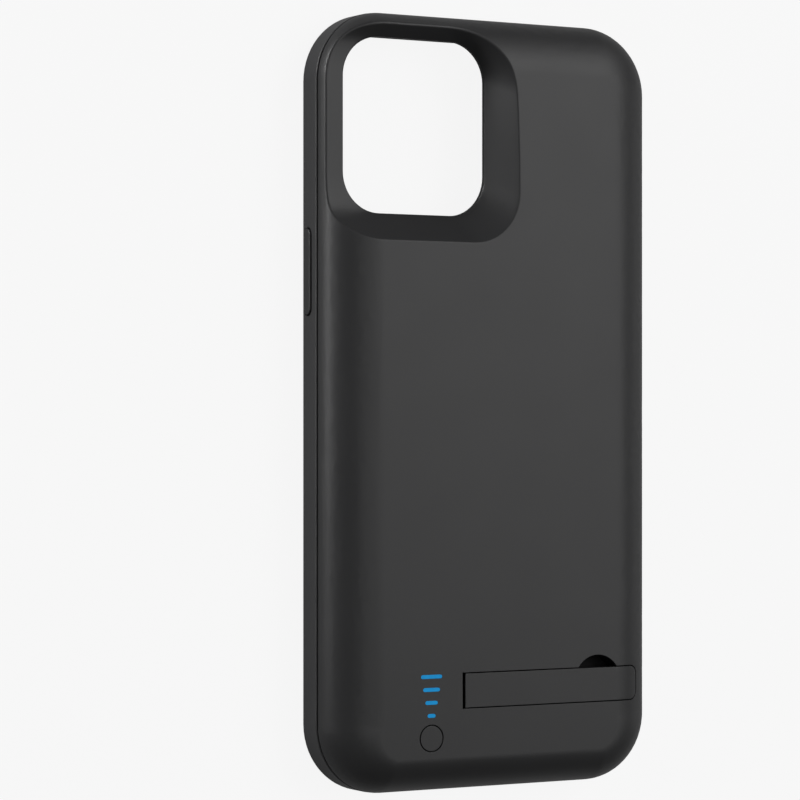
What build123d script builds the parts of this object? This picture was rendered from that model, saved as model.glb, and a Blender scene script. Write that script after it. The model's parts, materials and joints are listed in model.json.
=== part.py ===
"""Battery charging case: a slim shell with a flat pocket in front and its own cell behind.

Millimetres. The case lies on its front lip with its rounded back up (+Z). +Y points to the
end with the camera opening, +X to the right as the back is seen. The origin is on the
surface that the lip rests on, under the middle of the case.
"""

import math
import os

from build123d import *

# Pocket, open to the front
POCKET_W = 78.4
POCKET_L = 161.1
POCKET_DEPTH = 7.7
POCKET_CORNER_R = 12.0

# Walls round the pocket
SIDE_WALL = 3.27
TOP_WALL = 3.2
CHIN = 8.3
LIP_T = 1.2
LIP_OVERHANG = 1.4
LIP_CHAMFER = 0.5

# Outer form
CASE_T = 16.0
CORNER_R = 15.5
BACK_EDGE_W = 12.5
BACK_FOOT_EDGE_W = 8.0
BACK_EDGE_H = 9.0
FRONT_EDGE_R = 1.8

# Parting line between the soft bumper and the hard back cover
BUMPER_H = 7.25
PARTING_GAP = 0.5
PARTING_EDGE_R = 0.35
SEAT_GAP = 0.1

# Back cover and tray
COVER_WALL = 1.3
TRAY_T = 0.8
TRAY_GAP = 0.15

# Camera opening
CAMERA_W = 36.15
CAMERA_L = 38.9
CAMERA_R = 9.0
CAMERA_FROM_SIDE = 5.45
CAMERA_FROM_TOP = 5.6
CAMERA_FLOOR_T = 0.9
CAMERA_FLARE_ENDS = 45.0
CAMERA_FLARE_SIDE = 42.3
CAMERA_LAND_SLOPE = 6.0
CAMERA_MOUTH_R = 12.0
CAMERA_MOUTH_TOP_R = 21.0
CAMERA_MOUTH_BOW = 4.0
CAMERA_WALL = 1.7
CAMERA_MOUTH_EDGE_R = 0.6
CAMERA_RIDGE_EDGE_R = 0.4

# Kickstand
KICK_L = 46.5
KICK_W = 7.6
KICK_T = 2.6
KICK_FROM_SIDE = 5.5
KICK_FROM_END = 22.5
KICK_CORNER_R = 2.0
KICK_GAP = 0.2
KICK_HINGE_GAP = 0.7
KICK_UNDER_GAP = 0.3
RECESS_WALL = 1.2
RECESS_FLOOR = 1.0
RECESS_EDGE_R = 0.1
NOTCH_CHORD = 10.3
NOTCH_DEPTH = 2.7
NOTCH_OVER_BOARD = 0.2
NOTCH_FROM_FREE_END = 11.4
PIN_R = 0.6
PIN_RUNNING_GAP = 0.04
PIN_SEAT = 2.2

# Power button and charge lights, one column on the back
COLUMN_FROM_HINGE = 10.0
BUTTON_D = 6.0
BUTTON_FROM_END = 12.3
BUTTON_GAP = 0.15
BUTTON_TRAVEL = 0.3
BUTTON_FLANGE = 0.5
BUTTON_FLANGE_T = 0.65
BUTTON_DEPTH = 2.8
BUTTON_EDGE = 0.15
LIGHT_COUNT = 4
LIGHT_FIRST_W = 5.35
LIGHT_STEP_W = 1.12
LIGHT_H = 0.8
LIGHT_PITCH = 2.87
LIGHT_FROM_BUTTON = 5.0
LIGHT_GAP = 0.05
GUIDE_PLATE_T = 0.9
GUIDE_MARGIN = 0.6
GUIDE_TO_CHIP = 0.15

# Side buttons in the bumper
SIDE_BUTTON_Z = 3.5
SIDE_BUTTON_H = 2.9
SIDE_BUTTON_GAP = 0.3
SIDE_BUTTON_PROUD = 0.4
SIDE_BUTTON_TRAVEL = 0.4
SIDE_BUTTON_EDGE_R = 0.3
FLANGE_T = 0.7
FLANGE_LAP = 0.25
FLANGE_ROOM = 0.2
FLANGE_STOP_GAP = 0.05
LOCK_BUTTON_L = 19.0
LOCK_BUTTON_FROM_TOP = 57.5
VOLUME_BUTTON_L = 12.0
VOLUME_UP_FROM_TOP = 49.9
VOLUME_DOWN_FROM_TOP = 64.5
SWITCH_WINDOW_L = 9.0
SWITCH_WINDOW_H = 3.4
SWITCH_WINDOW_FLARE = 0.5
SWITCH_WINDOW_FROM_TOP = 36.1

# Cell and boards
TAPE_T = 0.15
FOAM_T = 0.6
FOAM_MARGIN = 4.0
CELL_FROM_SIDE = 9.2
CELL_GAP = 1.5
CELL_EDGE_R = 1.0
CELL_BOARD_L = 26.0
CELL_BOARD_W = 3.2
CELL_TAB_W = 4.0
CELL_TAB_T = 0.15
CELL_TAB_PITCH = 14.0
BOARD_T = 0.8
BOARD_FROM_SIDE = 10.2
BOARD_FROM_END = 4.5
BOARD_GAP = 0.4
BOARD_CORNER_R = 3.0
LEAD_W = 2.4
LEAD_T = 0.5
LEAD_LAP = 1.2
CHIP_L = 1.6
CHIP_W = 0.8
CHIP_H = 0.6
SWITCH_SIDE = 4.5
SWITCH_H = 1.9
PLUNGER_R = 1.0
PLUNGER_IN = 0.4
PLUNGER_GAP = 0.1
CONTROLLER_SIDE = 5.0
CONTROLLER_H = 0.9
CONTROLLER_FROM_COIL = 12.0
COIL_SIDE = 6.4
COIL_H = 1.8
COIL_FROM_BOARD_SIDE = 12.0
PARTS_FROM_BOARD_EDGE = 5.0

# Dock plug in the pocket and charge socket in the chin, back to back on one upright board
DOCK_BOARD_W = 15.0
DOCK_BOARD_T = 0.8
DOCK_BOARD_GAP = 0.15
DOCK_TAB_W = 8.0
DOCK_WALL = 0.9
DOCK_FLOOR = 2.2
PLUG_W = 6.7
PLUG_T = 1.5
PLUG_REACH = 6.6
PLUG_END_R = 0.6
COLLAR_W = 8.4
COLLAR_T = 2.7
COLLAR_PROUD = 0.2
COLLAR_GAP = 0.1
CONTACT_COUNT = 8
CONTACT_W = 0.42
CONTACT_L = 2.8
CONTACT_T = 0.05
CONTACT_PITCH = 0.68
CONTACT_FROM_TIP = 1.0
SOCKET_Z = 4.2
SOCKET_W = 8.9
SOCKET_T = 3.2
SOCKET_WALL = 0.3
SOCKET_INSET = 0.3
SOCKET_GAP = 0.05
SOCKET_BASE_T = 1.2
SOCKET_TONGUE_W = 6.6
SOCKET_TONGUE_T = 0.7
SOCKET_TONGUE_INSET = 0.8
SOUND_SLOT_L = 12.0
SOUND_SLOT_H = 2.2
SOUND_SLOT_X = 20.0

# Levels, from the front lip upwards
CASE_W = POCKET_W + 2 * SIDE_WALL
CASE_L = POCKET_L + TOP_WALL + CHIN
SIDE_X = CASE_W / 2
END_Y = CASE_L / 2
POCKET_Y = END_Y - TOP_WALL - POCKET_L / 2
POCKET_END_Y = POCKET_Y - POCKET_L / 2
POCKET_TOP = LIP_T + POCKET_DEPTH
COVER_BOTTOM = BUMPER_H + PARTING_GAP
TRAY_TOP = POCKET_TOP + TRAY_T
CEILING = CASE_T - COVER_WALL
RIDGE_Z = POCKET_TOP + CAMERA_FLOOR_T
BOARD_TOP = TRAY_TOP + BOARD_T
DOCK_Z = LIP_T + POCKET_DEPTH / 2
ABOVE = 1.0
TINY = 0.01


def outline(inset):
    """Plan outline of the case, moved inwards."""
    return RectangleRounded(CASE_W - 2 * inset, CASE_L - 2 * inset, CORNER_R - inset)


def pocket_outline(grow):
    """Plan outline of the pocket, moved outwards."""
    shape = RectangleRounded(POCKET_W + 2 * grow, POCKET_L + 2 * grow, POCKET_CORNER_R + grow)
    return Pos(0, POCKET_Y) * shape


def slab(sketch, bottom, top):
    """A plan sketch raised between two levels."""
    return extrude(Pos(0, 0, bottom) * sketch, amount=top - bottom)


def rectangle(left, right, low, high):
    """Plan rectangle given by its four sides."""
    return Pos((left + right) / 2, (low + high) / 2) * Rectangle(right - left, high - low)


def block(left, right, low, high, bottom, top):
    """Plain block given by its six sides."""
    return slab(rectangle(left, right, low, high), bottom, top)


def inside_of_cover(level):
    """How far the inside of the cover's wall lies from the case's outline, at one level."""
    low = CASE_T - BACK_EDGE_H
    up = (level - low) / (CEILING - low)
    return COVER_WALL + (BACK_EDGE_W - COVER_WALL) * (1 - math.sqrt(1 - up**2))


TONGUE_INSET = inside_of_cover(POCKET_TOP) + SEAT_GAP
TRAY_INSET = inside_of_cover(TRAY_TOP) + TRAY_GAP


def rounding(path, place, width, inset):
    """What the rounding takes off across a path: all beyond an elliptic quarter.

    In the section, +X is inwards from the path and +Y is up.
    """
    top = CASE_T - inset
    low = CASE_T - BACK_EDGE_H
    reach = width - inset
    quarter = EllipticalCenterArc((reach, low), reach, top - low, start_angle=90, arc_size=90)
    outside = Polyline((0, low), (-ABOVE, low), (-ABOVE, top + ABOVE), (reach, top + ABOVE), (reach, top))
    heading = path % place
    section_plane = Plane(origin=path @ place, x_dir=Vector(0, 0, 1).cross(heading), z_dir=heading)
    return section_plane * make_face(Curve() + [quarter, outside])


def hump(inset):
    """The rounded back as a full solid, moved inwards from the outer surface.

    The rounding is wide along the sides and the top end, and narrower along the foot. It changes
    its width on the way round the two corners of the foot.
    """
    x = SIDE_X - inset
    y = END_Y - inset
    r = CORNER_R - inset
    round_top = [
        Line((x, r - y), (x, y - r)),
        CenterArc((x - r, y - r), r, 0, 90),
        Line((x - r, y), (r - x, y)),
        CenterArc((r - x, y - r), r, 90, 90),
        Line((-x, y - r), (-x, r - y)),
    ]
    sides = Wire([line.edge() for line in round_top])
    corner = CenterArc((r - x, r - y), r, 180, 90)
    foot = Line((r - x, -y), (x - r, -y))
    corner_sections = [rounding(corner, 0, BACK_EDGE_W, inset), rounding(corner, 1, BACK_FOOT_EDGE_W, inset)]
    off_corner = sweep(corner_sections, path=corner, multisection=True)
    off_sides = sweep(rounding(sides, 0, BACK_EDGE_W, inset), path=sides)
    off_foot = sweep(rounding(foot, 0, BACK_FOOT_EDGE_W, inset), path=foot)
    body = slab(outline(inset), 0, CASE_T - inset) - off_sides - off_foot
    return body - off_corner - mirror(off_corner, about=Plane.YZ)


BACK = hump(0)

# Camera opening: a hole whose ridge lies near the pocket, a flare up to the back on three
# sides, and an almost level land that runs out through the rounded side on the fourth.
CAMERA_LEFT = -SIDE_X + CAMERA_FROM_SIDE
CAMERA_RIGHT = CAMERA_LEFT + CAMERA_W
CAMERA_HIGH = END_Y - CAMERA_FROM_TOP
CAMERA_LOW = CAMERA_HIGH - CAMERA_L
FLARE_RISE = CASE_T + ABOVE - RIDGE_Z
FLARE_END_RUN = FLARE_RISE * math.tan(math.radians(CAMERA_FLARE_ENDS))
FLARE_SIDE_RUN = FLARE_RISE * math.tan(math.radians(CAMERA_FLARE_SIDE))
LAND_RUN = FLARE_RISE / math.tan(math.radians(CAMERA_LAND_SLOPE))


def camera_hole(grow):
    """Plan outline of the hole, moved outwards."""
    middle = Pos((CAMERA_LEFT + CAMERA_RIGHT) / 2, (CAMERA_LOW + CAMERA_HIGH) / 2)
    return middle * RectangleRounded(CAMERA_W + 2 * grow, CAMERA_L + 2 * grow, CAMERA_R + grow)


def camera_mouth(grow):
    """Plan outline of the flare just above the back, moved outwards.

    The left corners are elliptic quarters about the hole's own corners, so that the steep ends
    turn smoothly into the land. The right side is bowed and runs on into its upper corner.
    """
    right = CAMERA_RIGHT + FLARE_SIDE_RUN + grow
    low = CAMERA_LOW - FLARE_END_RUN - grow
    high = CAMERA_HIGH + FLARE_END_RUN + grow
    turn_x = CAMERA_LEFT + CAMERA_R
    turn_low = CAMERA_LOW + CAMERA_R
    turn_high = CAMERA_HIGH - CAMERA_R
    land = turn_x - CAMERA_LEFT + LAND_RUN + grow
    end = high - turn_high
    low_r = CAMERA_MOUTH_R + grow
    high_r = CAMERA_MOUTH_TOP_R + grow
    bow = math.sin(math.radians(CAMERA_MOUTH_BOW))
    side_r = (high - low - low_r - high_r * (1 - bow)) / bow
    side = JernArc((right, low + low_r), (0, 1), side_r, CAMERA_MOUTH_BOW)
    turn = JernArc(side @ 1, side % 1, high_r, 90 - CAMERA_MOUTH_BOW)
    lines = [
        EllipticalCenterArc((turn_x, turn_low), land, end, start_angle=180, arc_size=90),
        Line((turn_x, low), (right - low_r, low)),
        CenterArc((right - low_r, low + low_r), low_r, 270, 90),
        side,
        turn,
        Line(turn @ 1, (turn_x, high)),
        EllipticalCenterArc((turn_x, turn_high), land, end, start_angle=90, arc_size=90),
        Line((turn_x - land, turn_high), (turn_x - land, turn_low)),
    ]
    return make_face(Curve() + lines)


def camera_flare(grow):
    """The flare as a solid, ruled from the ridge of the hole to the mouth."""
    ridge = Pos(0, 0, RIDGE_Z) * camera_hole(grow)
    mouth = Pos(0, 0, RIDGE_Z + FLARE_RISE) * camera_mouth(grow)
    return loft([ridge.face(), mouth.face()], ruled=True)


# Kickstand lines: the barrel end sits to the left and the free end near the right side.
KICK_Y = -END_Y + KICK_FROM_END
KICK_FREE_X = SIDE_X - KICK_FROM_SIDE
BARREL_R = KICK_T / 2
HINGE_X = KICK_FREE_X - KICK_L + BARREL_R
HINGE_Z = CASE_T - BARREL_R
KICK_UNDER = CASE_T - KICK_T
RECESS_Z = KICK_UNDER - KICK_UNDER_GAP
RECESS_LEFT = HINGE_X - BARREL_R - KICK_HINGE_GAP
RECESS_HALF = KICK_W / 2 + KICK_GAP
NOTCH_R = (NOTCH_CHORD**2 / 4 + NOTCH_DEPTH**2) / (2 * NOTCH_DEPTH)
NOTCH_X = KICK_FREE_X - NOTCH_FROM_FREE_END
NOTCH_Y = KICK_Y + RECESS_HALF + NOTCH_DEPTH - NOTCH_R
NOTCH_Z = BOARD_TOP + NOTCH_OVER_BOARD + RECESS_FLOOR


def bar_outline(left, grow):
    """Plan outline of the kickstand bar, with its free corners rounded."""
    right = KICK_FREE_X + grow
    half = KICK_W / 2 + grow
    shape = rectangle(left, right, KICK_Y - half, KICK_Y + half)
    return fillet(shape.vertices().group_by(Axis.X)[-1], KICK_CORNER_R + grow)


def notch_outline(grow):
    """Plan outline of the finger notch beside the bar's upper edge."""
    reach = NOTCH_R + grow
    disc = Pos(NOTCH_X, NOTCH_Y) * Circle(reach)
    return disc & rectangle(NOTCH_X - reach, NOTCH_X + reach, KICK_Y, NOTCH_Y + reach)


def across(radius, length):
    """Cylinder along the hinge axis."""
    return Pos(HINGE_X, KICK_Y, HINGE_Z) * Rot(90, 0, 0) * Cylinder(radius, length)


# Button and light column
COLUMN_X = HINGE_X - COLUMN_FROM_HINGE
BUTTON_Y = -END_Y + BUTTON_FROM_END
BUTTON_R = BUTTON_D / 2
BUTTON_BOTTOM = CASE_T - BUTTON_DEPTH
FLANGE_R = BUTTON_R + BUTTON_FLANGE
LIGHT_LOW_Y = BUTTON_Y + LIGHT_FROM_BUTTON
LIGHTS = [
    (LIGHT_LOW_Y + i * LIGHT_PITCH, LIGHT_FIRST_W - (LIGHT_COUNT - 1 - i) * LIGHT_STEP_W)
    for i in range(LIGHT_COUNT)
]


def at_button(radius, bottom, top):
    """Upright cylinder on the power button's axis."""
    return slab(Pos(COLUMN_X, BUTTON_Y) * Circle(radius), bottom, top)


def light_bars(grow, bottom, top):
    """The row of light bars, longest at the top, as one group of solids."""
    bars = [
        slab(Pos(COLUMN_X, y) * SlotOverall(width + 2 * grow, LIGHT_H + 2 * grow), bottom, top)
        for y, width in LIGHTS
    ]
    return Part() + bars


def along_y(sketch, start, end):
    """An upright sketch, drawn in X and Z, run along the case."""
    return extrude(Plane.XZ.offset(-end) * sketch, amount=end - start)


def on_skin(edge):
    """Whether the middle of an edge lies on the outer surface of the back."""
    return BACK.shell().distance_to(Vertex(edge @ 0.5)) < TINY


def is_rim(edge):
    """Whether an edge of the kickstand bounds its face, and isn't a seam across it."""
    seam_x = SIDE_X - BACK_EDGE_W
    return abs((edge @ 0.5).X - seam_x) > TINY


def carve(body, tool, edge_radius):
    """Cut a recess into the back and round the new edges where it breaks the outer surface."""
    cut = body - tool
    rim = new_edges(body, tool, combined=cut).filter_by(on_skin)
    return fillet(rim, edge_radius)


# Back cover: an even shell that goes over the bumper's tongue and the tray
cover = BACK - hump(COVER_WALL) - slab(outline(-ABOVE), 0, COVER_BOTTOM)
cover = fillet(cover.faces().sort_by(Axis.Z)[0].outer_wire().edges(), PARTING_EDGE_R)

# Camera well of the cover: a floor on the bumper's tongue and a flared wall of even thickness
well_right = CAMERA_RIGHT + CAMERA_WALL
well_low = CAMERA_LOW - CAMERA_WALL
well_floor = block(-SIDE_X, well_right, well_low, END_Y, POCKET_TOP, RIDGE_Z + CAMERA_FLOOR_T)
cover += (well_floor + camera_flare(CAMERA_WALL)) & BACK
well = camera_flare(0) + slab(camera_hole(0), POCKET_TOP - ABOVE, RIDGE_Z)
cover = carve(cover, well, CAMERA_MOUTH_EDGE_R)
ridge = cover.edges().filter_by_position(Axis.Z, RIDGE_Z - TINY, RIDGE_Z + TINY)
ridge = ridge.filter_by_position(Axis.X, CAMERA_LEFT - TINY, CAMERA_RIGHT + TINY)
ridge = ridge.filter_by_position(Axis.Y, CAMERA_LOW - TINY, CAMERA_HIGH + TINY)
cover = fillet(ridge, CAMERA_RIDGE_EDGE_R)

# Kickstand recess of the cover, with bosses for the pin
recess_low = RECESS_Z - RECESS_FLOOR
boss = BARREL_R + RECESS_WALL
boss_half = RECESS_HALF + PIN_SEAT
tub = bar_outline(RECESS_LEFT - RECESS_WALL, KICK_GAP + RECESS_WALL)
tub += rectangle(HINGE_X - boss, HINGE_X + boss, KICK_Y - boss_half, KICK_Y + boss_half)
cover += slab(tub, recess_low, CASE_T) & BACK
cover += slab(notch_outline(RECESS_WALL), NOTCH_Z - RECESS_FLOOR, CASE_T) & BACK
recess = slab(bar_outline(RECESS_LEFT, KICK_GAP), RECESS_Z, CASE_T + ABOVE)
recess += slab(notch_outline(0), NOTCH_Z, CASE_T + ABOVE)
cover = carve(cover, recess, RECESS_EDGE_R)
cover -= across(PIN_R, 2 * boss_half)

# Holes of the cover for the power button and the light bars
cover = carve(cover, at_button(BUTTON_R, CEILING - ABOVE, CASE_T + ABOVE), BUTTON_EDGE)
cover -= at_button(FLANGE_R + BUTTON_GAP, BUTTON_BOTTOM, CEILING)
cover -= light_bars(LIGHT_GAP, CEILING - ABOVE, CASE_T + ABOVE)

# Bumper: a soft ring with a lip in front of the pocket and a tongue inside the cover
bumper = slab(outline(0), 0, BUMPER_H)
bumper = fillet(bumper.edges().group_by(Axis.Z)[0], FRONT_EDGE_R)
bumper = fillet(bumper.edges().group_by(Axis.Z)[-1], PARTING_EDGE_R)
bumper += slab(outline(TONGUE_INSET), LIP_T, POCKET_TOP)
bumper -= slab(pocket_outline(0), LIP_T, POCKET_TOP + ABOVE)
bumper -= slab(pocket_outline(-LIP_OVERHANG), -ABOVE, LIP_T)
bumper -= extrude(pocket_outline(LIP_CHAMFER - LIP_OVERHANG), amount=LIP_CHAMFER, taper=45)

# Side buttons: a cap through the bumper wall and a flange in a counterbore behind it
WALL_X = POCKET_W / 2
COUNTERBORE = FLANGE_T + SIDE_BUTTON_TRAVEL + 3 * FLANGE_STOP_GAP
FLANGE_OUT_X = WALL_X + COUNTERBORE - FLANGE_STOP_GAP
FLANGE_GROW = SIDE_BUTTON_GAP + FLANGE_LAP


def side_slot(centre_y, length, grow, inner, outer):
    """A round-ended bar across the right wall, at the height of the side buttons."""
    shape = SlotOverall(length + 2 * grow, SIDE_BUTTON_H + 2 * grow)
    return Pos(0, centre_y, SIDE_BUTTON_Z) * extrude(Plane.YZ.offset(inner) * shape, amount=outer - inner)


def side_hole(centre_y, length):
    """Stepped hole in the right wall for one side button."""
    inner = WALL_X - ABOVE
    bore = side_slot(centre_y, length, SIDE_BUTTON_GAP, inner, SIDE_X + ABOVE)
    return bore + side_slot(centre_y, length, FLANGE_GROW + FLANGE_ROOM, inner, WALL_X + COUNTERBORE)


def side_button(centre_y, length):
    """Cap and flange of one side button in the right wall."""
    cap = side_slot(centre_y, length, 0, FLANGE_OUT_X, SIDE_X + SIDE_BUTTON_PROUD)
    cap = fillet(cap.faces().sort_by(Axis.X)[-1].edges(), SIDE_BUTTON_EDGE_R)
    return cap + side_slot(centre_y, length, FLANGE_GROW, FLANGE_OUT_X - FLANGE_T, FLANGE_OUT_X)


LOCK_Y = END_Y - LOCK_BUTTON_FROM_TOP
VOLUME_UP_Y = END_Y - VOLUME_UP_FROM_TOP
VOLUME_DOWN_Y = END_Y - VOLUME_DOWN_FROM_TOP
WINDOW_Y = END_Y - SWITCH_WINDOW_FROM_TOP

bumper -= side_hole(VOLUME_UP_Y, VOLUME_BUTTON_L)
bumper -= side_hole(VOLUME_DOWN_Y, VOLUME_BUTTON_L)
bumper -= mirror(side_hole(LOCK_Y, LOCK_BUTTON_L), about=Plane.YZ)
volume_up_button = side_button(VOLUME_UP_Y, VOLUME_BUTTON_L)
volume_down_button = side_button(VOLUME_DOWN_Y, VOLUME_BUTTON_L)
lock_button = mirror(side_button(LOCK_Y, LOCK_BUTTON_L), about=Plane.YZ)

# Window in the right wall to reach a slide switch, flared outwards
window = SlotOverall(SWITCH_WINDOW_L, SWITCH_WINDOW_H)
wide = 2 * SWITCH_WINDOW_FLARE
mouth = SlotOverall(SWITCH_WINDOW_L + wide, SWITCH_WINDOW_H + wide)
window_cut = extrude(Plane.YZ.offset(WALL_X - ABOVE) * window, amount=SIDE_WALL + 2 * ABOVE)
window_cut += extrude(Plane.YZ.offset(SIDE_X) * mouth, amount=-SWITCH_WINDOW_FLARE, taper=45)
bumper -= Pos(0, WINDOW_Y, SIDE_BUTTON_Z) * window_cut

# Dock: one upright board in the chin carries the plug on its inner and the socket on its outer face
CHAMBER_IN_Y = POCKET_END_Y - DOCK_WALL
BOARD_IN_Y = CHAMBER_IN_Y - DOCK_BOARD_GAP
BOARD_OUT_Y = BOARD_IN_Y - DOCK_BOARD_T
CHAMBER_OUT_Y = BOARD_OUT_Y - DOCK_BOARD_GAP
CHAMBER_HALF = DOCK_BOARD_W / 2 + DOCK_BOARD_GAP
TAB_HALF = DOCK_TAB_W / 2 + DOCK_BOARD_GAP
PLUG_TIP_Y = POCKET_END_Y + PLUG_REACH
SOCKET_FRONT_Y = -END_Y + SOCKET_INSET

at_plug = Pos(0, DOCK_Z)
at_socket = Pos(0, SOCKET_Z)
plug_section = at_plug * RectangleRounded(PLUG_W, PLUG_T, PLUG_END_R)
collar_section = at_plug * RectangleRounded(COLLAR_W, COLLAR_T, PLUG_END_R)
collar_hole = at_plug * RectangleRounded(COLLAR_W + 2 * COLLAR_GAP, COLLAR_T + 2 * COLLAR_GAP, PLUG_END_R)
socket_hole = at_socket * SlotOverall(SOCKET_W + 2 * SOCKET_GAP, SOCKET_T + 2 * SOCKET_GAP)
socket_outside = at_socket * SlotOverall(SOCKET_W, SOCKET_T)
socket_inside = at_socket * SlotOverall(SOCKET_W - 2 * SOCKET_WALL, SOCKET_T - 2 * SOCKET_WALL)
sound_slot = SlotOverall(SOUND_SLOT_L, SOUND_SLOT_H)

bumper -= block(-CHAMBER_HALF, CHAMBER_HALF, CHAMBER_OUT_Y, CHAMBER_IN_Y, DOCK_FLOOR, POCKET_TOP + ABOVE)
bumper -= along_y(collar_hole, CHAMBER_IN_Y - ABOVE / 2, POCKET_END_Y + ABOVE)
bumper -= along_y(socket_hole, -END_Y - ABOVE, CHAMBER_OUT_Y + ABOVE / 2)
for side in (-1, 1):
    bumper -= along_y(Pos(side * SOUND_SLOT_X, SOCKET_Z) * sound_slot, -END_Y - ABOVE, POCKET_END_Y + ABOVE)

dock_board = block(
    -DOCK_BOARD_W / 2, DOCK_BOARD_W / 2, BOARD_OUT_Y, BOARD_IN_Y, DOCK_FLOOR, POCKET_TOP - DOCK_BOARD_GAP
)
dock_board += block(-DOCK_TAB_W / 2, DOCK_TAB_W / 2, BOARD_OUT_Y, BOARD_IN_Y, DOCK_FLOOR, BOARD_TOP)
dock_slot = block(-TAB_HALF, TAB_HALF, CHAMBER_OUT_Y, CHAMBER_IN_Y, POCKET_TOP - ABOVE, BOARD_TOP + ABOVE)

dock_plug = along_y(plug_section, BOARD_IN_Y, PLUG_TIP_Y)
dock_plug = fillet(dock_plug.faces().sort_by(Axis.Y)[-1].edges(), PLUG_END_R / 2)
plug_collar = along_y(collar_section - plug_section, BOARD_IN_Y, POCKET_END_Y + COLLAR_PROUD)
contact_y = PLUG_TIP_Y - CONTACT_FROM_TIP - CONTACT_L / 2
contact_z = DOCK_Z + PLUG_T / 2 + CONTACT_T / 2
contact = Pos(0, contact_y, contact_z) * Box(CONTACT_W, CONTACT_L, CONTACT_T)
contact_x = [(i - (CONTACT_COUNT - 1) / 2) * CONTACT_PITCH for i in range(CONTACT_COUNT)]
plug_contacts = Part() + [Pos(x, 0, 0) * contact for x in contact_x]

socket_shell = along_y(socket_outside - socket_inside, SOCKET_FRONT_Y, BOARD_OUT_Y)
socket_tongue = along_y(socket_inside, BOARD_OUT_Y - SOCKET_BASE_T, BOARD_OUT_Y)
tongue_section = at_socket * Rectangle(SOCKET_TONGUE_W, SOCKET_TONGUE_T)
socket_tongue += along_y(tongue_section, SOCKET_FRONT_Y + SOCKET_TONGUE_INSET, BOARD_OUT_Y)

# Tray between the pocket and the cell, cut away round the camera well
tray = slab(outline(TRAY_INSET), POCKET_TOP, TRAY_TOP)
tray -= block(-SIDE_X, well_right + TRAY_GAP, well_low - TRAY_GAP, END_Y, 0, CASE_T)
tray -= dock_slot

# Kickstand: a flush bar whose face follows the rounded side of the back. Its hinge end is square
# on top and a barrel below, so that it clears the recess as it swings.
bar_side = Pos((HINGE_X + KICK_FREE_X) / 2, HINGE_Z) * Rectangle(KICK_FREE_X - HINGE_X, KICK_T)
bar_side += Pos(HINGE_X, HINGE_Z) * Circle(BARREL_R)
bar_side += Pos(HINGE_X - BARREL_R / 2, HINGE_Z + BARREL_R / 2) * Rectangle(BARREL_R, BARREL_R)
kickstand = along_y(bar_side, KICK_Y - KICK_W / 2, KICK_Y + KICK_W / 2)
kickstand &= slab(bar_outline(HINGE_X - KICK_T, 0), RECESS_Z, CASE_T)
kickstand &= BACK
kickstand = fillet(kickstand.edges().filter_by(on_skin).filter_by(is_rim), RECESS_EDGE_R)
kickstand -= across(PIN_R + PIN_RUNNING_GAP, KICK_W + ABOVE)
kickstand_pin = across(PIN_R, 2 * boss_half)

# Power button, its switch and the light guide
flange_top = CEILING - FLANGE_STOP_GAP
power_button = at_button(BUTTON_R - BUTTON_GAP, BUTTON_BOTTOM, CASE_T) & BACK
power_button = fillet(power_button.edges().group_by(Axis.Z)[-1], BUTTON_EDGE)
power_button += at_button(FLANGE_R, flange_top - BUTTON_FLANGE_T, flange_top)
switch_top = BOARD_TOP + SWITCH_H
well_depth = PLUNGER_IN + BUTTON_TRAVEL + PLUNGER_GAP
button_switch = Pos(COLUMN_X, BUTTON_Y, BOARD_TOP + SWITCH_H / 2) * Box(SWITCH_SIDE, SWITCH_SIDE, SWITCH_H)
button_switch -= at_button(PLUNGER_R + PLUNGER_GAP, switch_top - well_depth, switch_top)
switch_plunger = at_button(PLUNGER_R, switch_top - PLUNGER_IN, BUTTON_BOTTOM)

guide_low = LIGHTS[0][0] - LIGHT_H / 2 - GUIDE_MARGIN
guide_high = LIGHTS[-1][0] + LIGHT_H / 2 + GUIDE_MARGIN
guide_half = LIGHT_FIRST_W / 2 + GUIDE_MARGIN
guide_plate = block(
    COLUMN_X - guide_half, COLUMN_X + guide_half, guide_low, guide_high, CEILING - GUIDE_PLATE_T, CEILING
)
light_guide = guide_plate + light_bars(0, BOARD_TOP + CHIP_H + GUIDE_TO_CHIP, CASE_T)
chip = Pos(COLUMN_X, 0, BOARD_TOP + CHIP_H / 2) * Box(CHIP_L, CHIP_W, CHIP_H)
light_chips = Part() + [Pos(0, y, 0) * chip for y, width in LIGHTS]

# Cell, held between tape on the tray and foam under the cover
cell_half = SIDE_X - CELL_FROM_SIDE
cell_high = CAMERA_LOW - (CEILING - RIDGE_Z) * FLARE_END_RUN / FLARE_RISE - CAMERA_WALL - CELL_GAP
cell_low = KICK_Y + RECESS_HALF + NOTCH_DEPTH + RECESS_WALL + CELL_GAP
battery_cell = block(-cell_half, cell_half, cell_low, cell_high, TRAY_TOP + TAPE_T, CEILING - FOAM_T)
battery_cell = fillet(battery_cell.edges().filter_by(Axis.Z), CELL_EDGE_R)
pad_half = cell_half - FOAM_MARGIN
pad_low = cell_low + FOAM_MARGIN
pad_high = cell_high - FOAM_MARGIN
cell_tape = block(-pad_half, pad_half, pad_low, pad_high, TRAY_TOP, TRAY_TOP + TAPE_T)
foam_pad = block(-pad_half, pad_half, pad_low, pad_high, CEILING - FOAM_T, CEILING)

# Boards behind the cell
cell_board_high = cell_low - BOARD_GAP
cell_board_low = cell_board_high - CELL_BOARD_W
cell_board = block(-CELL_BOARD_L / 2, CELL_BOARD_L / 2, cell_board_low, cell_board_high, TRAY_TOP, BOARD_TOP)
tab_half = CELL_TAB_W / 2
tab_low = cell_board_high - CELL_BOARD_W / 2
tab = block(-tab_half, tab_half, tab_low, cell_low, BOARD_TOP, BOARD_TOP + CELL_TAB_T)
cell_tabs = Part() + [Pos(side * CELL_TAB_PITCH / 2, 0, 0) * tab for side in (-1, 1)]

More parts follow.
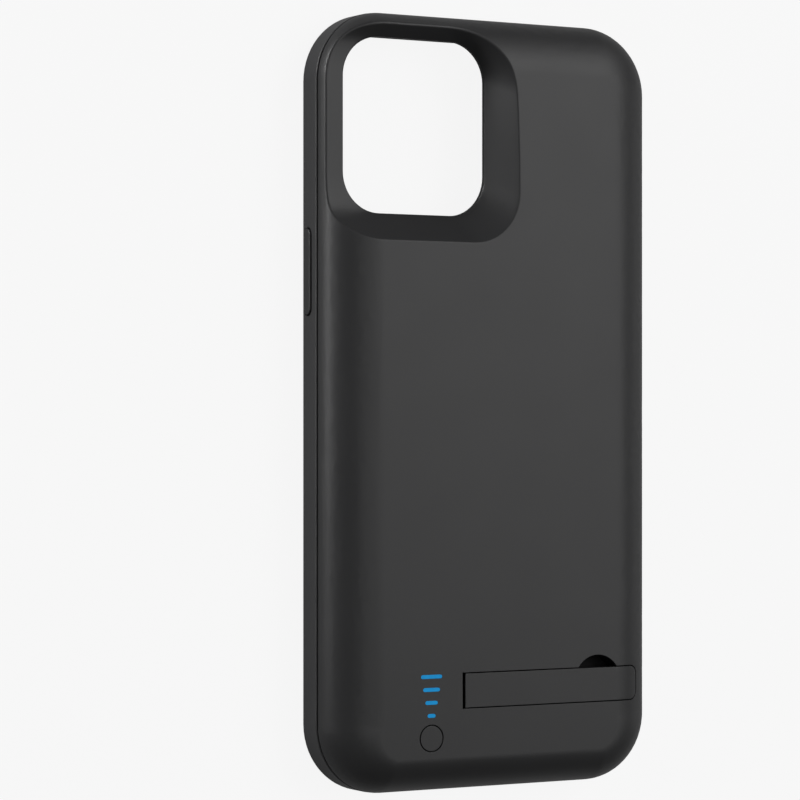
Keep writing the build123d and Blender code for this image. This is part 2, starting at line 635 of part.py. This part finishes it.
board_half = SIDE_X - BOARD_FROM_SIDE
board_low = -END_Y + BOARD_FROM_END
board_high = cell_board_low - BOARD_GAP
charge_board = block(-board_half, board_half, board_low, board_high, TRAY_TOP, BOARD_TOP)
charge_board = fillet(charge_board.edges().filter_by(Axis.Z), BOARD_CORNER_R)
charge_board -= dock_slot
lead_low = board_high - LEAD_LAP
lead_high = cell_board_low + LEAD_LAP
lead = block(-LEAD_W / 2, LEAD_W / 2, lead_low, lead_high, BOARD_TOP, BOARD_TOP + LEAD_T)
cell_leads = Part() + [Pos(side * CELL_TAB_PITCH / 4, 0, 0) * lead for side in (-1, 1)]
parts_y = board_low + PARTS_FROM_BOARD_EDGE
coil_x = board_half - COIL_FROM_BOARD_SIDE
power_coil = Pos(coil_x, parts_y, BOARD_TOP + COIL_H / 2) * Box(COIL_SIDE, COIL_SIDE, COIL_H)
controller_at = Pos(coil_x - CONTROLLER_FROM_COIL, parts_y, BOARD_TOP + CONTROLLER_H / 2)
charge_controller = controller_at * Box(CONTROLLER_SIDE, CONTROLLER_SIDE, CONTROLLER_H)

os.makedirs("parts", exist_ok=True)
nodes = {
    "back_cover": cover,
    "bumper_frame": bumper,
    "inner_tray": tray,
    "kickstand": kickstand,
    "kickstand_pin": kickstand_pin,
    "power_button": power_button,
    "button_switch": button_switch,
    "switch_plunger": switch_plunger,
    "light_guide": light_guide,
    "light_chips": light_chips,
    "volume_up_button": volume_up_button,
    "volume_down_button": volume_down_button,
    "lock_button": lock_button,
    "battery_cell": battery_cell,
    "cell_tape": cell_tape,
    "foam_pad": foam_pad,
    "cell_board": cell_board,
    "cell_tabs": cell_tabs,
    "cell_leads": cell_leads,
    "charge_board": charge_board,
    "charge_controller": charge_controller,
    "power_coil": power_coil,
    "dock_board": dock_board,
    "dock_plug": dock_plug,
    "plug_collar": plug_collar,
    "plug_contacts": plug_contacts,
    "socket_shell": socket_shell,
    "socket_tongue": socket_tongue,
}
for name, shape in nodes.items():
    export_step(shape, f"parts/{name}.step")
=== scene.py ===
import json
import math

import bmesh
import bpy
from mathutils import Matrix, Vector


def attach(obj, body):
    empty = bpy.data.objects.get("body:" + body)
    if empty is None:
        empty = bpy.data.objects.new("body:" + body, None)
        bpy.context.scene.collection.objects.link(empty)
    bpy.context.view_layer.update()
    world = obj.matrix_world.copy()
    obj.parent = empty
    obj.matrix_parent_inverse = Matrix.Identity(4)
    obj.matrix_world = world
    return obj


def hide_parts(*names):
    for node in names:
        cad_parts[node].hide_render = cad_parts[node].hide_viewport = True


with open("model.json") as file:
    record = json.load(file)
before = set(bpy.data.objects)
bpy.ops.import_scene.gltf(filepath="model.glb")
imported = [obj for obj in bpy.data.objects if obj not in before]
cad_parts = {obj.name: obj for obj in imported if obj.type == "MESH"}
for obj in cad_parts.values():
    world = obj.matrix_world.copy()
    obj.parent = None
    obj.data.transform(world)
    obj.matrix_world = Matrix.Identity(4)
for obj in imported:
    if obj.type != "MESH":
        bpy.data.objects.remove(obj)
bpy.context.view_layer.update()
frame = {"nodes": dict(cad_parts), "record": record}  # frame["bodies"], ["nodes"], ["joints"], ["record"]

# %% [markdown]
# # A battery charging case, dressed for its picture
# The case lies on its front lip with its rounded back up. Its solids come from the frame, in
# metres, and each one is already in its place. What is left for Blender is what a solid can't
# say: how light runs over a moulded skin, how soft the bumper looks beside the hard cover, how
# the charge lights glow, and what each metal, foil and board inside is made of.

MM = 0.001
nodes = frame["nodes"]

# %% [markdown]
# ## Skins that flow
# A moulded shell has no facets, but a solid arrives as loose flat triangles. Subdividing them
# would only make more flats. So a copy of each rounded piece is welded, its flat areas are
# joined into single faces, and its normals are weighted by area: large flats stay dead flat,
# the rounds between them shade as one sweep, and edges past a set angle stay crisp.

# %% Weld, join and smooth a copy
WELD = 0.0005 * MM
FLAT = math.radians(0.2)
CRISP = math.radians(35)
AREA_WEIGHT = 100


def flowing(name, body):
    """A smooth copy of one CAD node, which it stands for."""
    shape = bmesh.new()
    shape.from_mesh(nodes[name].data)
    bmesh.ops.remove_doubles(shape, verts=shape.verts, dist=WELD)
    bmesh.ops.dissolve_limit(shape, angle_limit=FLAT, verts=shape.verts, edges=shape.edges)
    for face in shape.faces:
        face.smooth = True
    for edge in shape.edges:
        edge.smooth = edge.calc_face_angle(math.pi) < CRISP
    mesh = bpy.data.meshes.new(name + "_skin")
    shape.to_mesh(mesh)
    shape.free()
    piece = bpy.data.objects.new(name + "_skin", mesh)
    bpy.context.scene.collection.objects.link(piece)
    even = piece.modifiers.new("flats stay flat", "WEIGHTED_NORMAL")
    even.keep_sharp = True
    even.weight = AREA_WEIGHT
    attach(piece, body)
    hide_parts(name)
    print(name, "->", len(mesh.polygons), "faces")
    return piece


# %% Every rounded piece, with the body that carries it
SKIN_BODIES = {
    "back_cover": "case",
    "bumper_frame": "case",
    "kickstand": "kickstand",
    "power_button": "power_button",
    "lock_button": "lock_button",
    "volume_up_button": "volume_up_button",
    "volume_down_button": "volume_down_button",
    "kickstand_pin": "case",
    "dock_plug": "case",
    "plug_collar": "case",
    "socket_shell": "case",
}
skins = {name: flowing(name, body) for name, body in SKIN_BODIES.items()}

# %% [markdown]
# ## A small language for finishes
# A finish is a few patterns added and multiplied into a shader. Wiring each sum by hand hides
# the idea, so one class wraps a socket and lets Python's own signs add the Math nodes. A second
# one holds a material, and its only method adds any other kind of node.


# %% Sockets that can be added up
class Value:
    """An output socket. Arithmetic on it adds Math nodes to its tree."""

    def __init__(self, tree, socket):
        self.tree = tree
        self.socket = socket

    def math(self, operation, first, second):
        node = self.tree.nodes.new("ShaderNodeMath")
        node.operation = operation
        for slot, term in zip(node.inputs, (first, second)):
            if isinstance(term, Value):
                self.tree.links.new(term.socket, slot)
            else:
                slot.default_value = term
        return Value(self.tree, node.outputs[0])

    def __add__(self, other):
        return self.math("ADD", self, other)

    def __radd__(self, other):
        return self.math("ADD", other, self)

    def __sub__(self, other):
        return self.math("SUBTRACT", self, other)

    def __rsub__(self, other):
        return self.math("SUBTRACT", other, self)

    def __mul__(self, other):
        return self.math("MULTIPLY", self, other)

    def __rmul__(self, other):
        return self.math("MULTIPLY", other, self)


# %% Any other node
class Finish:
    """A node tree with a method for any node. Settings come first, then its sockets."""

    def __init__(self, tree):
        self.tree = tree

    def node(self, kind, settings=None, sockets=None, output=0):
        node = self.tree.nodes.new("ShaderNode" + kind)
        for key, setting in (settings or {}).items():
            setattr(node, key, setting)
        for key, term in (sockets or {}).items():
            if isinstance(term, Value):
                self.tree.links.new(term.socket, node.inputs[key])
            else:
                node.inputs[key].default_value = term
        return Value(self.tree, node.outputs[output])


# %% Two patterns that the finishes share
MIX_FIRST, MIX_SECOND, MIX_RESULT = 6, 7, 2  # a Mix node's sockets when it mixes colours


def cloudy(make, place, size, detail):
    """A value that wanders over the surface, in patches of about one size."""
    return make.node("TexNoise", sockets={"Vector": place, "Scale": 1 / size, "Detail": detail})


def between(make, share, first, second):
    """A colour that goes from one to another with a value."""
    return make.node(
        "Mix",
        settings={"data_type": "RGBA"},
        sockets={"Factor": share, MIX_FIRST: (*first, 1), MIX_SECOND: (*second, 1)},
        output=MIX_RESULT,
    )


# %% [markdown]
# ## Plastic, metal and board
# Nearly all of the case is black plastic, and what tells its pieces apart is their grain. A
# steel mould is spark-eroded, which leaves a skin of tiny pits, and handling polishes it
# unevenly. So every finish here has the same three layers on Object coordinates: a fine grain
# that bumps the surface, a slow mottle in its roughness, and a slight drift in its colour. An
# image would show seams on these rounds, and Object coordinates have none.

# %% One recipe for every finish
GRAIN_DETAIL = 2.0
MOTTLE = 0.06
MOTTLE_SIZE = 14 * MM
MOTTLE_DETAIL = 3.0
MOTTLE_MIDDLE = 0.5
DRIFT = 0.06
PLAIN, SATIN, DULL = 0.5, 0.3, 0.1


def finish(
    name, colour, roughness, grain_size, grain_depth, drift=DRIFT, metallic=0.0, sheen=PLAIN
):
    """A material with fine grain, uneven sheen and a slight drift of colour."""
    material = bpy.data.materials.new(name)
    material.use_nodes = True
    tree = material.node_tree
    shader = tree.nodes["Principled BSDF"]
    make = Finish(tree)
    place = make.node("TexCoord", output="Object")
    grain = cloudy(make, place, grain_size, GRAIN_DETAIL)
    slow = cloudy(make, place, MOTTLE_SIZE, MOTTLE_DETAIL)
    rough = roughness + MOTTLE * (slow - MOTTLE_MIDDLE)
    dark = [channel * (1 - drift) for channel in colour]
    pale = [channel * (1 + drift) for channel in colour]
    tint = between(make, slow, dark, pale)
    bump = make.node("Bump", sockets={"Height": grain, "Strength": 1.0, "Distance": grain_depth})
    shader.inputs["Metallic"].default_value = metallic
    shader.inputs["Specular IOR Level"].default_value = sheen
    tree.links.new(tint.socket, shader.inputs["Base Color"])
    tree.links.new(rough.socket, shader.inputs["Roughness"])
    tree.links.new(bump.socket, shader.inputs["Normal"])
    return material


# %% Looks: colour, roughness, size and depth of the grain in mm, and what else differs
LOOKS = {
    "cover_black": ((0.0160, 0.0160, 0.0166), 0.42, 0.16, 0.0015, {"sheen": SATIN}),
    "bumper_black": ((0.0240, 0.0240, 0.0249), 0.46, 0.20, 0.0020, {"sheen": SATIN}),
    "button_black": ((0.0190, 0.0190, 0.0197), 0.44, 0.16, 0.0015, {"sheen": SATIN}),
    # painted shade: darker and duller than the cover, for the faces in the recess and notch
    "recess_painted_shade": ((0.009, 0.009, 0.009), 0.8, 0.30, 0.006, {"sheen": DULL}),
    "tray_black": ((0.018, 0.018, 0.019), 0.6, 0.30, 0.006, {}),
    "part_black": ((0.03, 0.03, 0.03), 0.5, 0.20, 0.003, {}),
    "part_white": ((0.8, 0.8, 0.78), 0.45, 0.20, 0.002, {}),
    # painted shade: the steel pin made near black, so that the gaps beside the bar stay dark
    "pin_painted_shade": ((0.025, 0.025, 0.026), 0.5, 0.10, 0.0006, {"metallic": 1.0}),
    "steel": ((0.62, 0.63, 0.65), 0.28, 0.10, 0.0006, {"metallic": 1.0}),
    "cell_silver": ((0.72, 0.73, 0.75), 0.34, 1.2, 0.02, {"metallic": 1.0}),
    "tape_white": ((0.82, 0.82, 0.80), 0.7, 0.4, 0.01, {}),
    "foam_grey": ((0.12, 0.12, 0.13), 0.9, 0.5, 0.12, {}),
    "board_green": ((0.02, 0.16, 0.07), 0.35, 0.6, 0.004, {"drift": 0.15}),
    "nickel": ((0.70, 0.69, 0.66), 0.30, 0.15, 0.001, {"metallic": 1.0}),
    "copper": ((0.72, 0.40, 0.25), 0.35, 0.15, 0.001, {"metallic": 1.0}),
    "coil_grey": ((0.16, 0.16, 0.17), 0.6, 0.25, 0.008, {}),
    "gold": ((0.85, 0.65, 0.30), 0.25, 0.10, 0.0004, {"metallic": 1.0}),
}
finishes = {}
for name, (colour, roughness, size, depth, extra) in LOOKS.items():
    finishes[name] = finish(name, colour, roughness, size * MM, depth * MM, **extra)
print(len(finishes), "finishes")

# %% [markdown]
# ## Charge lights
# Four bars of one clear moulding carry the light of the chips up through the back, so they show
# as lit blue windows with a slight haze in them. A lamp for each bar would light the plastic
# round it too, which the real ones are too weak to do, so the bars simply emit.

# %% Lit light guide
HAZE_SIZE = 0.8 * MM
HAZE_DETAIL = 2.0
GLOW_DEEP = (0.000, 0.170, 0.40)
GLOW_PALE = (0.004, 0.230, 0.50)
GUIDE_BLUE = (0.003, 0.03, 0.08, 1)
GUIDE_ROUGHNESS = 0.35
lit = bpy.data.materials.new("light_blue")
lit.use_nodes = True
lit_shader = lit.node_tree.nodes["Principled BSDF"]
lit_make = Finish(lit.node_tree)
haze = cloudy(lit_make, lit_make.node("TexCoord", output="Object"), HAZE_SIZE, HAZE_DETAIL)
glow = between(lit_make, haze, GLOW_DEEP, GLOW_PALE)
lit.node_tree.links.new(glow.socket, lit_shader.inputs["Emission Color"])
lit_shader.inputs["Emission Strength"].default_value = 1.0
lit_shader.inputs["Base Color"].default_value = GUIDE_BLUE
lit_shader.inputs["Roughness"].default_value = GUIDE_ROUGHNESS
lit_shader.inputs["Specular IOR Level"].default_value = DULL
finishes["light_blue"] = lit
print("light guide glows from", GLOW_DEEP, "to", GLOW_PALE)

# %% [markdown]
# ## Dressing
# The record names a slot of material for every piece, and the finish of that name goes on its
# skin, or on the node itself where it has none. One piece departs from its slot: the steel hinge
# pin is painted near black, as painted shade in the gaps beside the bar, where a bright pin
# would shine through.

# %% Every piece gets its finish
# the hinge pin takes a near-black finish: painted shade in the gaps beside the bar
PAINTED_SHADE_FINISH = {"kickstand_pin": "pin_painted_shade"}
for part in frame["record"]["subparts"]:
    name, slot_name = part["node"], part["material_slot"]
    piece = skins.get(name, nodes[name])
    piece.data.materials.clear()
    piece.data.materials.append(finishes[PAINTED_SHADE_FINISH.get(name, slot_name)])

# %% [markdown]
# ## Painted shade in the recess
# The kickstand lies in a recess with a finger notch beside it. Its floor and walls take a finish
# that is darker and duller than the back: painted shade, standing in for the dark down in the
# recess and the notch. They belong to the cover's own skin, so its faces there simply take a
# second finish. Those faces are the ones below the bar's underside, and the walls, which stand
# nearly upright.

# %% Dull faces with painted shade round the kickstand
HINGE_ROOM = 1.0 * MM
SIDE_ROOM = 0.5 * MM
NOTCH_ROOM = 3.5 * MM
RECESS_DEPTH = 2.5 * MM
UPRIGHT = 0.3
bar = [vertex.co for vertex in nodes["kickstand"].data.vertices]
bar_low = Vector([min(point[axis] for point in bar) for axis in range(3)])
bar_high = Vector([max(point[axis] for point in bar) for axis in range(3)])
bottom = bar_low.z - RECESS_DEPTH
cover_mesh = skins["back_cover"].data
# the second finish is painted shade, darker than the cover, for the recess and notch
cover_mesh.materials.append(finishes["recess_painted_shade"])
dull_painted_shade = 0
for face in cover_mesh.polygons:
    middle = face.center
    beside = bar_low.x - HINGE_ROOM < middle.x < bar_high.x + SIDE_ROOM
    along = bar_low.y - SIDE_ROOM < middle.y < bar_high.y + NOTCH_ROOM
    under_bar = bottom < middle.z < bar_low.z
    wall = abs(face.normal.z) < UPRIGHT and bottom < middle.z
    if beside and along and (under_bar or wall):
        face.material_index = 1
        dull_painted_shade += 1
print(dull_painted_shade, "dull faces")

# %% [markdown]
# ## Floor
# A product like this is shot on a white sweep. Brighter lamps would wash out the case, so the
# floor is a pale matt surface with white mixed in where the camera looks at it. A little of the
# lit surface stays in the mix, and with it the shadow of the case. Glossy rays get only a share
# of the white, because the satin plastic would otherwise mirror a lit room all round. The floor
# lies a hair below the lip, so that the two never share a plane.

# %% White sweep
FLOOR_HALF = 6.0
FLOOR_GAP = 0.05 * MM
FLOOR_GREY = (0.45, 0.45, 0.45, 1)
FLOOR_WHITE = 0.9
GLOSSY_SHARE = 0.1
WHITE = (1, 1, 1, 1)
shape = bmesh.new()
below = Matrix.Translation((0, 0, -FLOOR_GAP))
bmesh.ops.create_grid(shape, x_segments=1, y_segments=1, size=FLOOR_HALF, matrix=below)
floor_mesh = bpy.data.meshes.new("floor")
shape.to_mesh(floor_mesh)
shape.free()
floor = bpy.data.objects.new("floor", floor_mesh)
bpy.context.scene.collection.objects.link(floor)
print("floor, m:", 2 * FLOOR_HALF)


# %% White for the camera, less for gloss
def white_share(tree):
    """How much of a plain white a ray sees: all for the camera and glass, a share for gloss."""
    path = tree.nodes.new("ShaderNodeLightPath")
    kinds = ("Is Camera Ray", "Is Glossy Ray", "Is Transmission Ray")
    camera_ray, glossy_ray, through = (Value(tree, path.outputs[kind]) for kind in kinds)
    return camera_ray + through + GLOSSY_SHARE * glossy_ray


floor_paint = bpy.data.materials.new("floor_white")
floor_paint.use_nodes = True
floor_tree = floor_paint.node_tree
floor_make = Finish(floor_tree)
matt = floor_make.node("BsdfDiffuse", sockets={"Color": FLOOR_GREY})
white = floor_make.node("Emission", sockets={"Color": WHITE, "Strength": 1.0})
mixed = floor_make.node(
    "MixShader", sockets={0: FLOOR_WHITE * white_share(floor_tree), 1: matt, 2: white}
)
floor_tree.links.new(mixed.socket, floor_tree.nodes["Material Output"].inputs["Surface"])
floor.data.materials.append(floor_paint)
print("white in the floor:", FLOOR_WHITE)

# %% [markdown]
# ## Light
# The picture is lit softly from the upper right, with a low strip on the left and a dark room
# behind the camera, which is why the back fades towards its lower end and the left rounding has
# a dark band beside a bright one. Area lamps give that fall of light over the length of the
# case; a world picture alone would light both ends alike. The strip stands close to the floor,
# so it gets a grid, as in a studio: its spread is narrow, and the floor beside it stays even.

# %% Soft boxes
AIM = Vector((0.0, 0.0, 0.012))


def soft_box(name, place, width, height, radiance):
    """An area lamp that faces the case and has a given brightness of its own surface."""
    lamp = bpy.data.lights.new(name, "AREA")
    lamp.shape = "RECTANGLE"
    lamp.size = width
    lamp.size_y = height
    lamp.energy = radiance * math.pi * width * height
    box = bpy.data.objects.new(name, lamp)
    box.location = place
    box.rotation_euler = (AIM - Vector(place)).to_track_quat("-Z", "Y").to_euler()
    bpy.context.scene.collection.objects.link(box)
    return box


# %% Lamps round the case
BOX = 0.45
LOW_BOX = 0.24
STRIP_LENGTH, STRIP_HEIGHT = 0.35, 0.05
GRID = math.radians(50)
soft_box("key", (0.55, 0.0, 0.72), BOX, BOX, 2.45)
soft_box("key_far", (0.42, 0.36, 0.72), BOX, BOX, 4.1)
soft_box("overhead", (0.02, 0.0, 0.91), BOX, BOX, 1.57)
soft_box("far_right", (0.55, 0.55, 0.46), BOX, BOX, 1.28)
soft_box("low_right", (0.89, 0.0, 0.14), BOX, LOW_BOX, 0.8)
left_strip = soft_box("left_strip", (-0.35, 0.17, 0.025), STRIP_LENGTH, STRIP_HEIGHT, 4.0)
left_strip.data.spread = GRID

# %% Room
ROOM = 0.1
world = bpy.data.worlds.new("room")
bpy.context.scene.world = world
world.use_nodes = True
room_tree = world.node_tree
strength = ROOM + (1 - ROOM) * white_share(room_tree)
room_tree.links.new(strength.socket, room_tree.nodes["Background"].inputs["Strength"])
room_tree.nodes["Background"].inputs["Color"].default_value = WHITE
print("room light:", ROOM)

# %% [markdown]
# ## Camera
# The back is seen turned 30 degrees from square, from the left, with a long lens. The axis of
# the lens passes a little below the middle of the frame, which the shift takes up: tilting the
# camera instead would make the sides of the case lean.

# %% Long lens from the left
TURN = math.radians(30)
DISTANCE = 0.728
SENSOR_MM = 36
FOCAL_PX = 3200
FRAME_PX = 800
AXIS_BELOW_MIDDLE_PX = 25
AXIS_LEFT_OF_CASE = 14.77 * MM
AXIS_BELOW_CASE = 4.9 * MM
right = Vector((math.cos(TURN), 0, math.sin(TURN)))
up = Vector((0, 1, 0))
back = right.cross(up)
camera_data = bpy.data.cameras.new("camera")
camera_data.sensor_width = SENSOR_MM
camera_data.lens = SENSOR_MM * FOCAL_PX / FRAME_PX
camera_data.shift_y = AXIS_BELOW_MIDDLE_PX / FRAME_PX
camera = bpy.data.objects.new("camera", camera_data)
camera.matrix_world = Matrix((right, up, back)).transposed().to_4x4()
camera.location = DISTANCE * back - AXIS_LEFT_OF_CASE * right - AXIS_BELOW_CASE * up
bpy.context.scene.collection.objects.link(camera)
bpy.context.scene.camera = camera
bpy.context.scene.view_settings.view_transform = "Standard"
print("lens, mm:", camera_data.lens)
